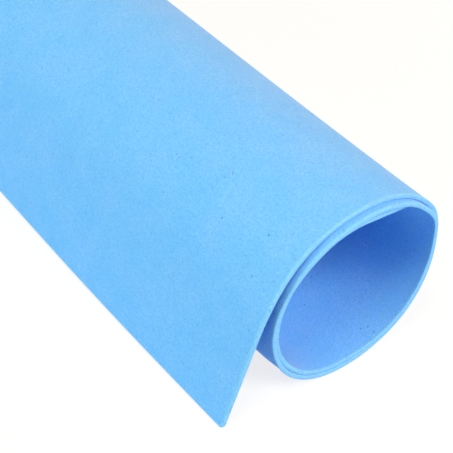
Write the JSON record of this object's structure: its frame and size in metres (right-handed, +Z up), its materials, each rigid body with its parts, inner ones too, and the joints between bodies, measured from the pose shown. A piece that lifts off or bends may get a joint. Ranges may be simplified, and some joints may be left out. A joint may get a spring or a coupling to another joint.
{
  "type": "foam sheet",
  "caption": "Light blue craft foam sheet, loosely rolled, with its free outer end hanging off the roll as a flap; soft sheet stock to cut for crafts, padding and lining.",
  "frame": {"origin": "middle of the flat spot that the roll rests on, halfway along the roll", "axes": "+Z up from the surface, +Y along the roll away from the end that shows in the picture, flap on the -X side"},
  "size_m": [0.1136, 0.5, 0.0942],
  "materials": {
    "foam": "matte closed-cell foam with a fine grain"
  },
  "bodies": {
    "root": {"foam_sheet": "foam"}
  },
  "joints": []
}
